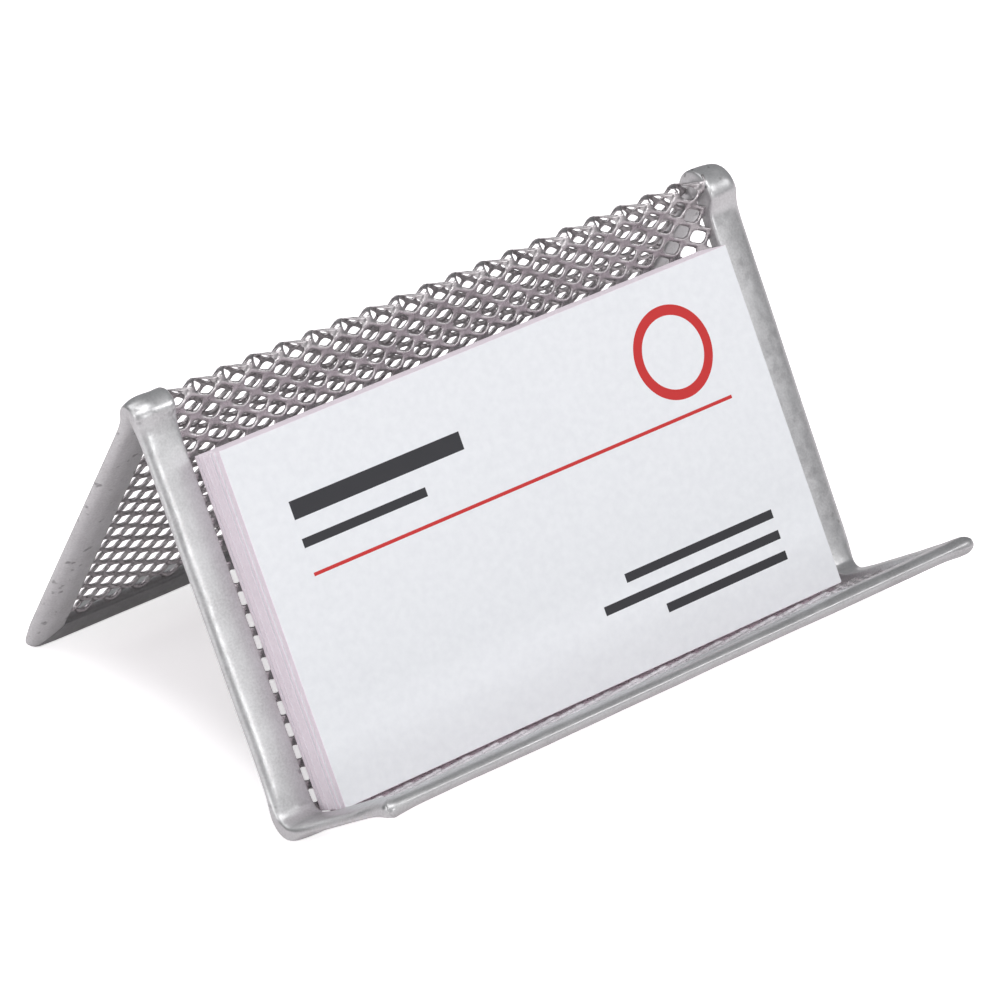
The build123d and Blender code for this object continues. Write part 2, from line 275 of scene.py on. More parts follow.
class SideLine:
    """The sheet's middle line from the foot over the ridge to the lip, with given bend radii."""

    def __init__(self, ridge_radius, front_radius):
        view = settings("side_view")
        lean = front_lean()
        leg = lean + math.pi + view.ridge_angle
        ridge = front_corner() + view.front_length * heading(lean)
        ridge_cut = ridge_radius / math.tan(view.ridge_angle / 2)
        front_cut = front_radius / math.tan(view.tray_angle / 2)
        self.runs = []
        self.length = 0.0
        self.spot = ridge + view.leg_length * heading(leg)
        self.angle = leg - math.pi
        self.add(view.leg_length - ridge_cut, 0.0)
        self.ridge_start = self.length
        self.add(ridge_radius * (math.pi - view.ridge_angle), 1.0 / ridge_radius)
        self.ridge_end = self.length
        self.ridge = (self.ridge_start + self.ridge_end) / 2
        self.add(view.front_length - ridge_cut - front_cut, 0.0)
        self.front_start = self.length
        self.add(front_radius * (math.pi - view.tray_angle), -1.0 / front_radius)
        self.front_end = self.length
        self.add(view.tray_depth - front_cut, 0.0)

    def add(self, run, curve):
        """Goes on by a straight run or an arc."""
        self.runs.append((self.length, self.spot, self.angle, curve))
        self.spot, self.angle = self.onward(self.spot, self.angle, curve, run)
        self.length += run

    def onward(self, spot, angle, curve, run):
        """The point and heading that a run leads to."""
        if curve == 0.0:
            return spot + run * heading(angle), angle
        turned = angle + curve * run
        step = Vector((math.sin(turned) - math.sin(angle), math.cos(angle) - math.cos(turned)))
        return spot + step / curve, turned

    def place(self, across, along, out):
        """Where the bends take a point of the flat sheet."""
        chosen = self.runs[0]
        for candidate in self.runs:
            if candidate[0] <= along:
                chosen = candidate
        start, spot, angle, curve = chosen
        spot, angle = self.onward(spot, angle, curve, along - start)
        return Vector((across, spot.x + out * math.sin(angle), spot.y - out * math.cos(angle)))


# Modelling steps

def ramp(share):
    """Goes smoothly from 0 to 1."""
    share = min(1.0, max(0.0, share))
    return share * share * (3 - 2 * share)


def nearness(distance, reach):
    """Falls smoothly from 1 at a place to nearly nothing at twice a reach."""
    return math.exp(-(distance / reach) ** 2)


def mode(name):
    """Goes to edit or object mode."""
    bpy.ops.object.mode_set(mode=name)


def begin():
    """Object mode with nothing selected."""
    if bpy.context.mode != "OBJECT":
        mode("OBJECT")
    bpy.ops.object.select_all(action="DESELECT")


def choose(piece, kind, test):
    """Edit mode with the vertices or edges selected that pass a test."""
    mode("EDIT")
    bpy.ops.mesh.select_mode(type=kind)
    bpy.ops.mesh.select_all(action="DESELECT")
    mode("OBJECT")
    for element in piece.data.vertices if kind == "VERT" else piece.data.edges:
        element.select = test(element)
    mode("EDIT")


def choose_all():
    """Edit mode with everything selected."""
    mode("EDIT")
    bpy.ops.mesh.select_mode(type="VERT")
    bpy.ops.mesh.select_all(action="SELECT")


def close_up(gap):
    """Merges doubles and turns the faces outwards, then leaves edit mode."""
    choose_all()
    bpy.ops.mesh.remove_doubles(threshold=gap)
    bpy.ops.mesh.normals_make_consistent(inside=False)
    mode("OBJECT")


def cut_off(place, outward, fill):
    """Cuts the piece along a plane, drops what lies outward of it and keeps a filled cut crisp."""
    choose_all()
    bpy.ops.mesh.bisect(
        plane_co=place, plane_no=outward, use_fill=fill, clear_outer=True, threshold=FINE_GAP)
    if fill:
        bpy.ops.transform.edge_crease(value=1.0)
    mode("OBJECT")


def modify(piece, kind, **values):
    """Adds a modifier with these values and applies it."""
    modifier = piece.modifiers.new(kind.title(), kind)
    for name, value in values.items():
        setattr(modifier, name, value)
    bpy.context.view_layer.objects.active = piece
    bpy.ops.object.modifier_apply(modifier=modifier.name)


def smooth(piece):
    """Rounds a piece off."""
    modify(piece, "SUBSURF", levels=1, render_levels=1)
    bpy.ops.object.shade_smooth()


def repeat(piece, step, count):
    """Copies what is there along a step."""
    modify(piece, "ARRAY", count=count, use_relative_offset=False, use_constant_offset=True,
           constant_offset_displace=step)


def kept_inside(point):
    """The nearest point in the box of the frame."""
    return Vector(min(max(value, low), high) for value, low, high in zip(point, cad_low, cad_high))


def sized(size, place=(0.0, 0.0, 0.0), turn=(0.0, 0.0, 0.0)):
    """Gives the primitive just added its size and place, kept in its mesh."""
    piece = bpy.context.active_object
    piece.location = place
    piece.rotation_euler = turn
    piece.scale = size
    bpy.ops.object.transform_apply(location=True, rotation=True, scale=True)
    return piece


def hand_over(piece, name, body, nodes, finishes):
    """Names a finished piece, paints it, and puts it in the place of its nodes."""
    piece.name = name
    piece.data.name = name
    for finish in finishes:
        piece.data.materials.append(finish)
    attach(piece, body)
    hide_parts(*nodes)


# Finishes

# Sizes of the patterns in the paint, in features per metre
CLOUD_SCALE = 210.0
GRAIN_SCALE = 3200.0
GLOSS_SCALE = 900.0
DENT_SCALE = 260.0
PEEL_SCALE = 1500.0
SCUFF_SCALE = 620.0

# The values of a mottle that are spread over a range, those that show as scuffs, and how scuffs look
MOTTLE_MIDDLE = (0.3, 0.7)
SCUFF_VALUES = (0.64, 0.72)
SCUFF_COVER = 0.6
SCUFF_COLOUR = (0.1, 0.095, 0.1)

# How much brighter the metal grain is than the paint
GRAIN_GAIN = 1.25

# Roughness and metallic share of the two paints
MESH_PAINT = (0.3, 0.85)
RAIL_PAINT = (0.34, 0.7)

# Fibre scale and roughness of a card's face and cut edge, and the tone between fibres
FACE_STOCK = (900.0, 0.5)
EDGE_STOCK = (2200.0, 0.7)
FIBRE_SHADE = (0.95, 0.95, 0.955)


def new_node(tree, kind):
    """Adds a shader node."""
    return tree.nodes.new("ShaderNode" + kind)


def new_finish(name):
    """An empty material with its shader."""
    finish = bpy.data.materials.new(name)
    finish.use_nodes = True
    tree = finish.node_tree
    tree.nodes.clear()
    output = new_node(tree, "OutputMaterial")
    shader = new_node(tree, "BsdfPrincipled")
    tree.links.new(shader.outputs["BSDF"], output.inputs["Surface"])
    return finish, tree, shader


def mottle(tree, where, scale, detail):
    """Soft irregular values at a scale given in features per metre."""
    texture = new_node(tree, "TexNoise")
    texture.inputs["Scale"].default_value = scale
    texture.inputs["Detail"].default_value = detail
    tree.links.new(where, texture.inputs["Vector"])
    return texture.outputs["Fac"]


def remapped(tree, value, source, target, interpolation="LINEAR"):
    """Takes one range of values to another."""
    remap = new_node(tree, "MapRange")
    remap.interpolation_type = interpolation
    for name, limit in zip(("From Min", "From Max", "To Min", "To Max"), (*source, *target)):
        remap.inputs[name].default_value = limit
    tree.links.new(value, remap.inputs["Value"])
    return remap.outputs["Result"]


def spread(tree, value, low, high):
    """Spreads the middle of a mottle over a range."""
    return remapped(tree, value, MOTTLE_MIDDLE, (low, high))


def mixed(tree, share, first, second):
    """Mixes two colours, each a socket or three numbers."""
    mix = new_node(tree, "Mix")
    mix.data_type = "RGBA"
    tree.links.new(share, mix.inputs["Factor"])
    for colour, socket in ((first, mix.inputs["A"]), (second, mix.inputs["B"])):
        if isinstance(colour, bpy.types.NodeSocket):
            tree.links.new(colour, socket)
        else:
            socket.default_value = (*colour, 1.0)
    return mix.outputs["Result"]


def worked(tree, operation, first, second, third=0.0):
    """One step of arithmetic on sockets or numbers."""
    step = new_node(tree, "Math")
    step.operation = operation
    for value, socket in zip((first, second, third), step.inputs):
        if isinstance(value, bpy.types.NodeSocket):
            tree.links.new(value, socket)
        else:
            socket.default_value = value
    return step.outputs["Value"]


def relief(tree, height, strength, depth, under=None):
    """Bump of a given depth, on top of another bump where one is given."""
    bump = new_node(tree, "Bump")
    bump.inputs["Strength"].default_value = strength
    bump.inputs["Distance"].default_value = depth
    tree.links.new(height, bump.inputs["Height"])
    if under is not None:
        tree.links.new(under, bump.inputs["Normal"])
    return bump.outputs["Normal"]


def mark(piece, painted_light_and_shade, wears):
    """Keeps the painted light and shade and how worn the paint is at each point of a piece."""
    for name, values in (("tone", painted_light_and_shade), ("wear", wears)):
        piece.data.attributes.new(name, "FLOAT", "POINT").data.foreach_set("value", values)


def marked(tree, name):
    """A value kept in the points of the piece."""
    node = new_node(tree, "Attribute")
    node.attribute_name = name
    return node.outputs["Fac"]


def silver_paint(name, light, dark, roughness, metallic):
    """Satin silver paint: cloudy tone, fine metal grain, shallow dents and orange peel."""
    finish, tree, shader = new_finish(name)
    where = new_node(tree, "TexCoord").outputs["Object"]
    cloudy = spread(tree, mottle(tree, where, CLOUD_SCALE, 4.0), 0.0, 1.0)
    grain = spread(tree, mottle(tree, where, GRAIN_SCALE, 2.0), 0.0, 0.5)
    tone = mixed(tree, cloudy, dark, light)
    bright = [min(1.0, value * GRAIN_GAIN) for value in light]
    tree.links.new(mixed(tree, grain, tone, bright), shader.inputs["Base Color"])
    shader.inputs["Metallic"].default_value = metallic
    rough = spread(tree, mottle(tree, where, GLOSS_SCALE, 3.0), roughness - 0.06, roughness + 0.08)
    tree.links.new(rough, shader.inputs["Roughness"])
    dents = relief(tree, mottle(tree, where, DENT_SCALE, 2.0), 0.15, 0.25 * MM)
    peel = relief(tree, mottle(tree, where, PEEL_SCALE, 2.0), 0.1, 0.03 * MM, dents)
    tree.links.new(peel, shader.inputs["Normal"])
    return finish


def coloured_so_far(finish):
    """A finish's nodes, its shader, and the socket that its colour comes from."""
    tree = finish.node_tree
    shader = next(node for node in tree.nodes if node.type == "BSDF_PRINCIPLED")
    return tree, shader, shader.inputs["Base Color"].links[0].from_socket


def worn(finish):
    """Lets a paint follow the painted light and shade kept in a piece, with scuffs where it is worn."""
    tree, shader, paint = coloured_so_far(finish)
    where = new_node(tree, "TexCoord").outputs["Object"]
    painted_shading = new_node(tree, "VectorMath")
    painted_shading.operation = "SCALE"
    tree.links.new(paint, painted_shading.inputs[0])
    tree.links.new(marked(tree, "tone"), painted_shading.inputs["Scale"])
    spots = remapped(tree, mottle(tree, where, SCUFF_SCALE, 2.0), SCUFF_VALUES, (0.0, SCUFF_COVER))
    scuffs = worked(tree, "MULTIPLY", spots, marked(tree, "wear"))
    scuffed = mixed(tree, scuffs, painted_shading.outputs["Vector"], SCUFF_COLOUR)
    tree.links.new(scuffed, shader.inputs["Base Color"])
    return finish


def card_stock(name, colour, grain_scale, roughness):
    """Plain card, with a faint fibre in colour and surface."""
    finish, tree, shader = new_finish(name)
    where = new_node(tree, "TexCoord").outputs["Object"]
    fibre = spread(tree, mottle(tree, where, grain_scale, 4.0), 0.0, 1.0)
    shade = [value * share for value, share in zip(colour, FIBRE_SHADE)]
    tree.links.new(mixed(tree, fibre, shade, colour), shader.inputs["Base Color"])
    rough = spread(tree, mottle(tree, where, grain_scale * 0.6, 2.0), roughness - 0.05, roughness + 0.05)
    tree.links.new(rough, shader.inputs["Roughness"])
    shader.inputs["Specular IOR Level"].default_value = 0.3
    normal = relief(tree, mottle(tree, where, grain_scale * 1.6, 3.0), 0.12, 0.02 * MM)
    tree.links.new(normal, shader.inputs["Normal"])
    return finish


# Mesh sheet

# Where the leg's thicker strands end below the ridge, and how soon the painted light on the tray's mesh is
# full
LEG_MARGIN = 3 * MM
TRAY_FADE = 3 * MM


class BuildMeshSheet(bpy.types.Operator):
    """Models one knuckle of the mesh, repeats it over the sheet and bends the sheet"""

    bl_idname = "card_stand.mesh_sheet"
    bl_label = "Mesh Sheet"

    def execute(self, context):
        sheet = settings("mesh_sheet")
        rails = settings("rails")
        line = SideLine(sheet.ridge_radius, sheet.front_radius)
        reach = rails.half_width - rails.width + sheet.grip
        first = rails.width - sheet.grip
        last = line.length - first
        left = -reach - sheet.long_pitch + sheet.slip_across
        start = first - sheet.short_pitch + sheet.slip_along
        piece = self.knuckle(sheet, left, start)
        repeat(piece, (sheet.long_pitch / 2, sheet.short_pitch / 2, 0.0), 2)
        repeat(piece, (sheet.long_pitch, 0.0, 0.0), math.ceil(2 * reach / sheet.long_pitch) + 2)
        repeat(piece, (0.0, sheet.short_pitch, 0.0), math.ceil((last - first) / sheet.short_pitch) + 2)
        close_up(SAME_PLACE)
        cut_off((-reach, 0.0, 0.0), (-1.0, 0.0, 0.0), False)
        cut_off((reach, 0.0, 0.0), (1.0, 0.0, 0.0), False)
        cut_off((0.0, first, 0.0), (0.0, -1.0, 0.0), False)
        cut_off((0.0, last, 0.0), (0.0, 1.0, 0.0), False)
        thinned = piece.vertex_groups.new(name="thinned")
        thin = sheet.strand_thickness / sheet.rear_thickness
        painted_light_and_shade = []
        for vertex in piece.data.vertices:
            across, along, out = vertex.co
            thinned.add((vertex.index,), 1.0 if along < line.ridge - LEG_MARGIN else thin, "REPLACE")
            # Painted light: the tone is raised in the tray, where the mesh is painted lighter
            painted_light_and_shade.append(1 + sheet.tray_painted_light * ramp((along - line.front_start) / TRAY_FADE))
            crest = sheet.crest_rise + sheet.crest_climb * across / reach
            out += crest * nearness(along - line.ridge, sheet.crest_reach)
            vertex.co = line.place(across, along, out)
        mark(piece, painted_light_and_shade, [0.0] * len(painted_light_and_shade))
        modify(piece, "SOLIDIFY", thickness=sheet.rear_thickness, offset=0.0, vertex_group="thinned",
               edge_crease_inner=sheet.strand_edge, edge_crease_outer=sheet.strand_edge)
        smooth(piece)
        colours = settings("finish")
        paint = worn(silver_paint("mesh_paint", colours.mesh_light, colours.mesh_dark, *MESH_PAINT))
        hand_over(piece, "mesh_sheet", "stand",
                  ("mesh_front_panel", "mesh_ridge_bend", "mesh_rear_panel", "mesh_front_bend",
                   "mesh_tray"), (paint,))
        return {"FINISHED"}

    def knuckle(self, sheet, left, start):
        """One tilted knuckle with the two strands that leave it."""
        tilt = math.atan2(sheet.strand_rise, sheet.strand_height)
        slant = math.hypot(sheet.strand_rise, sheet.strand_height)
        half = sheet.knuckle_half_length
        begin()
        bpy.ops.mesh.primitive_grid_add(x_subdivisions=1, y_subdivisions=2, size=1.0)
        piece = sized((2 * half, 2 * slant, 1.0), (left, start, 0.0), (-tilt, 0.0, 0.0))
        side_step = sheet.long_pitch / 2 - 2 * half
        row_step = sheet.short_pitch / 2 - sheet.strand_height
        for side in (1, -1):
            self.choose_end(piece, left + side * half, start)
            bpy.ops.mesh.extrude_edges_move(
                TRANSFORM_OT_translate={"value": (side * side_step, -row_step, -sheet.strand_rise)})
            mode("OBJECT")
        return piece

    def choose_end(self, piece, side, middle):
        """Selects the end edge of the knuckle that a strand leaves from."""
        points = piece.data.vertices

        def is_end(edge):
            ends = [points[index].co for index in edge.vertices]
            at_side = all(abs(end.x - side) < SAME_PLACE for end in ends)
            return at_side and (ends[0].y + ends[1].y) / 2 < middle

        choose(piece, "EDGE", is_end)


# Folded rails

# Steps along a strip, and how far beside its bends they stay fine
FINE_STEP = 0.5 * MM
COARSE_STEP = 1.5 * MM
RIDGE_MARGIN = 3 * MM
FRONT_MARGIN = MM

# Segments of the rounded edges, and cuts in the flat sides
FOLD_SEGMENTS = 4
GRIP_SEGMENTS = 2
FLAT_CUTS = 3

# Unevenness: wave lengths along, out of and across a strip, its long wave, sideways share and starts
WAVE_LENGTHS = (7 * MM, 2 * MM, 3 * MM)
LONG_WAVE = 0.45
SIDEWAYS_WAVE = 0.6
SIDE_START = 40.0
LIP_START = 90.0
FOOT_START = 130.0

# Where the leg's painted shade and the knob's wear begin across a strip, and how soon they are full
SHADE_FROM = 0.42
SHADE_FADE = 0.16
KNOB_WEAR = 1.6
WEAR_FROM = 0.75
WEAR_FADE = 0.2

# Shares of the crimp and of the dents at the knob's inner end, and the size of the dents
CRIMP_SHARE = 1.2
DENT_SHARE = 2.4
DENT_SIZE = 2.4 * MM

# Where the right rail's taper ends in the tray, and how far a lip's corner rises and is drawn in
TAPER_FADE = 8 * MM
TOP_BULGE = 0.3
DRAWN_IN = 0.75


class BuildRails(bpy.types.Operator):
    """Models a folded strip for each edge of the sheet, mitres it, rounds its corners and bends it"""

    bl_idname = "card_stand.rails"
    bl_label = "Folded Rails"

    def execute(self, context):
        rails = settings("rails")
        colours = settings("finish")
        paint = worn(silver_paint("rail_paint", colours.rail_light, colours.rail_dark, *RAIL_PAINT))
        width = 2 * rails.half_width
        sides = ((-1, "left_side_rail", SideLine(rails.ridge_radius, rails.front_radius)),
                 (1, "right_side_rail", SideLine(rails.right_ridge_radius, rails.front_radius)))
        for side, name, line in sides:
            bends = ((line.ridge_start - RIDGE_MARGIN, line.ridge_end + RIDGE_MARGIN),
                     (line.front_start - FRONT_MARGIN, line.front_end + FRONT_MARGIN))
            piece = self.strip(rails, line.length, bends)
            corners = (rails.foot_corner, rails.lip_corner)
            painted_light_and_shade = []
            wears = []
            for vertex in piece.data.vertices:
                from_lip = ramp((line.length - vertex.co.y) / rails.width - 1)
                shape = (corners, 1 - from_lip, SIDE_START * side)
                inward, along, out = self.formed(rails, vertex.co, line.length, shape)
                painted_light_and_shade.append(self.side_painted_shade(rails, line, inward, along, out))
                wears.append(self.side_wear(rails, line, inward, along))
                inward, along, out = self.swollen(rails, line, side, inward, along, out)
                across = side * (rails.half_width - inward)
                vertex.co = kept_inside(line.place(across, along, out))
            mark(piece, painted_light_and_shade, wears)
            self.finish(piece, name, paint)
        for name, lip in (("front_lip_rail", True), ("rear_foot_rail", False)):
            piece = self.strip(rails, width, ())
            shape = ((rails.foot_corner,) * 2, 0.0, FOOT_START)
            if lip:
                shape = ((rails.lip_corner,) * 2, 1.0, LIP_START)
            painted_light_and_shade = []
            for vertex in piece.data.vertices:
                inward, along, out = self.formed(rails, vertex.co, width, shape)
                # Painted shade: the undersides of the foot and the lip are painted darker, and the whole
                # lip as round the tray
                under = ramp(-2 * out / rails.thickness)
                shade = under * (rails.lip_painted_shade if lip else rails.foot_painted_shade)
                painted_light_and_shade.append((1 - shade) * (1 - rails.tray_painted_shade if lip else 1.0))
                if lip:
                    along = self.spread_out(rails, width, along, inward)
                    inward, out = self.bulged(rails, min(along, width - along), inward, out)
                run = line.length - inward if lip else inward
                vertex.co = kept_inside(line.place(along - rails.half_width, run, out))
            mark(piece, painted_light_and_shade, [0.0] * len(painted_light_and_shade))
            self.finish(piece, name, paint)
        return {"FINISHED"}

    def strip(self, rails, length, bends):
        """A flat strip with a rounded section, in steps that are fine at its bends and ends, mitred."""
        begin()
        bpy.ops.mesh.primitive_plane_add(size=1.0)
        piece = sized((rails.width, rails.thickness, 1.0), (rails.width / 2, 0.0, 0.0),
                      (math.pi / 2, 0.0, 0.0))
        choose(piece, "VERT", lambda vertex: vertex.co.x < SAME_PLACE)
        bpy.ops.mesh.bevel(offset=rails.fold_radius, segments=FOLD_SEGMENTS, affect="VERTICES")
        choose(piece, "VERT", lambda vertex: vertex.co.x > rails.width - SAME_PLACE)
        bpy.ops.mesh.bevel(offset=rails.lip_radius, segments=GRIP_SEGMENTS, affect="VERTICES")
        points = piece.data.vertices

        def is_long(edge):
            start, end = edge.vertices
            return (points[start].co - points[end].co).length > rails.width / 3

        choose(piece, "EDGE", is_long)
        bpy.ops.mesh.subdivide(number_cuts=FLAT_CUTS)
        choose_all()
        spot = 0.0
        fine = bends + ((0.0, rails.width), (length - rails.width, length))
        while spot < length - SAME_PLACE:
            step = FINE_STEP if any(low <= spot < high for low, high in fine) else COARSE_STEP
            step = min(step, length - spot)
            bpy.ops.mesh.extrude_region_move(TRANSFORM_OT_translate={"value": (0.0, step, 0.0)})
            spot += step
        close_up(STRIP_GAP)
        cut_off((0.0, 0.0, 0.0), (1.0, -1.0, 0.0), True)
        cut_off((0.0, length, 0.0), (1.0, 1.0, 0.0), True)
        return piece

    def formed(self, rails, point, length, shape):
        """Crowns a strip, rounds its outer corners and makes it slightly uneven."""
        inward, along, out = point
        corners, lip_share, wave_start = shape
        crown = lip_share * rails.lip_crown * (2 * inward / rails.width - 1) ** 2
        edge = (1 - lip_share) * max(0.0, 1 - inward / rails.nose_reach)
        out *= 1 - crown - rails.nose_drop * edge ** 2
        radius = corners[0] if along < length / 2 else corners[1]
        near = min(along, length - along)
        bow = radius - inward
        if inward < radius and near < radius:
            turn = min(1.0, (radius - near) / bow) * math.pi / 4
            inward = radius - bow * math.cos(turn)
            near = radius - bow * math.sin(turn)
            along = near if along < length / 2 else length - near
        spot = Vector(value / wave for value, wave in zip((along, out, inward), WAVE_LENGTHS))
        inward -= rails.nose_push * edge * min(1.0, near / (1.2 * rails.width))
        fade = min(1.0, near / (2 * rails.width))
        wave = fade * noise.noise(spot + Vector((wave_start, 0.0, 0.0)))
        swell = fade * noise.noise(spot * LONG_WAVE + Vector((0.0, wave_start, 0.0)))
        out += rails.unevenness * (wave + swell) * out / (rails.thickness / 2)
        inward += SIDEWAYS_WAVE * rails.unevenness * wave * (1 - inward / rails.width)
        return inward, along, out

    def side_painted_shade(self, rails, line, inward, along, out):
        """Painted shade: the paint is darker round the tray and on the inner side of the leg, off its fold.
        """
        on_leg = 1 - ramp((along - line.ridge_start + rails.width / 2) / (rails.width / 2))
        under = ramp(-2 * out / rails.thickness)
        beyond = ramp((inward / rails.width - SHADE_FROM) / SHADE_FADE)
        by_tray = ramp((along - line.front_start + rails.width / 2) / rails.width)
        return (1 - on_leg * under * beyond * rails.leg_painted_shade) * (1 - rails.tray_painted_shade * by_tray)

    def side_wear(self, rails, line, inward, along):
        """How worn the paint is: on the leg, a little by the front bend, and at the knob's inner end."""
        at_ridge = nearness(along - line.ridge, rails.knob_reach)
        by_knob = KNOB_WEAR * at_ridge * ramp((inward / rails.width - WEAR_FROM) / WEAR_FADE)
        on_leg = 1.0 - ramp((along - line.ridge_start) / rails.width)
        by_bend = nearness(along - line.front_start + rails.width, rails.width)
        return max(on_leg, rails.bend_wear * by_bend, by_knob)

    def swollen(self, rails, line, side, inward, along, out):
        """Bunches a side rail up at its bends and presses it flat under the tray."""
        extra = rails.right_knob_extra if side > 0 else 0.0
        crook = (line.front_start + line.front_end) / 2
        at_ridge = nearness(along - line.ridge, rails.knob_reach)
        at_crook = nearness(along - crook, rails.swelling_reach)
        near = line.length - along
        outer = max(0.0, 1 - inward / rails.width)
        at_corner = nearness(near, rails.swelling_reach)
        if inward > rails.width / 2:
            pinch = noise.noise(Vector((along, out, extra)) / MM)
            squeezed = CRIMP_SHARE * (rails.crimp + extra) + DENT_SHARE * rails.knob_dents * pinch
            inward += squeezed * at_ridge * (2 * inward / rails.width - 1)
        swelling = rails.swelling if side < 0 else rails.right_swelling
        sideways = (rails.knob_swelling + extra) * at_ridge + swelling * at_crook
        if side > 0:
            down_front = ramp((along - line.ridge_end) / (line.front_start - line.ridge_end))
            in_tray = ramp((along - line.front_end) / TAPER_FADE)
            sideways -= rails.right_taper * down_front * (1 - in_tray)
        inward -= (sideways + rails.corner_spread * at_corner) * outer
        dented = noise.noise(Vector((inward, along, out + side * MM)) / DENT_SIZE)
        out += rails.knob_dents * dented * nearness(along - line.ridge, 2 * rails.knob_reach)
        if out > 0.0:
            rise = rails.knob_rise if side < 0 else rails.right_knob_rise
            out += rails.crook_filling * at_crook + rise * at_ridge
        else:
            from_crook = ramp((along - crook) / (2 * rails.swelling_reach))
            from_lip = ramp((near - rails.width / 2) / rails.width)
            out += rails.tray_thinning * from_crook * from_lip * -out / (rails.thickness / 2)
        from_end, out = self.bulged(rails, near, near, out)
        return inward, line.length - from_end, out

    def bulged(self, rails, near, from_end, out):
        """Bulges the underside near a corner of the lip, lifts its top and draws it in."""
        bulge = rails.corner_bulge * nearness(near, rails.swelling_reach)
        rise = -bulge if out < 0.0 else TOP_BULGE * bulge
        return from_end + DRAWN_IN * bulge, out + rise

    def spread_out(self, rails, width, along, inward):
        """Pushes the ends of the lip out as far as the side rails are swollen there."""
        near = min(along, width - along)
        outer = max(0.0, 1 - near / rails.width)
        shift = rails.corner_spread * nearness(inward, rails.swelling_reach) * outer
        return along - shift if along < width / 2 else along + shift

    def finish(self, piece, name, paint):
        """Smooths a bent rail and hands it over."""
        close_up(FINE_GAP)
        smooth(piece)
        hand_over(piece, name, "stand", (name,), (paint,))


# Cards

# Plain print on the front card in millimetres: left, bottom, width and height of each bar, and the ring
DARK_BARS = ((7.5, 38.4, 29.0, 2.6), (7.5, 34.4, 21.0, 1.3), (54.4, 12.4, 27.0, 1.3),
             (49.4, 9.3, 32.0, 1.3), (59.4, 6.2, 22.0, 1.3))
RED_BARS = ((7.5, 30.4, 73.9, 0.5),)
RING_MIDDLE = (74.4, 39.6)
RING_RADIUS = 6.0
RING_STROKE = 1.5

# Start of the cards' random slips, and how squarely a front or back faces
SLIP_SEED = 11
SQUARELY = 0.9


